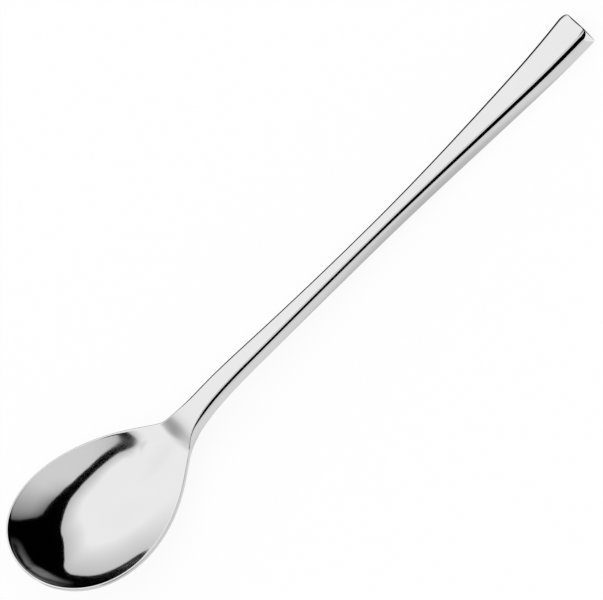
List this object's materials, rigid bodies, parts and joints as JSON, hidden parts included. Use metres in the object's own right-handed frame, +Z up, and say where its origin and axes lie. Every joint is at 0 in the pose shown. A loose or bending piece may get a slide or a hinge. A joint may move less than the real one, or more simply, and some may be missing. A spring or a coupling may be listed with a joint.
{
  "type": "teaspoon",
  "caption": "Polished stainless teaspoon with an egg-shaped bowl and a slim, thick, waisted handle that widens to a blunt squared end.",
  "frame": {"origin": "middle of the spoon's bounding box in plan, on the surface that it lies on", "axes": "+X along the spoon from the tip of the bowl to the end of the handle, +Z up out of the bowl"},
  "size_m": [0.1396, 0.0276, 0.0113],
  "materials": {
    "polished_steel": "mirror-polished stainless steel, bare metal with no plating"
  },
  "bodies": {
    "root": {"bowl": "polished_steel", "handle": "polished_steel"}
  },
  "joints": []
}
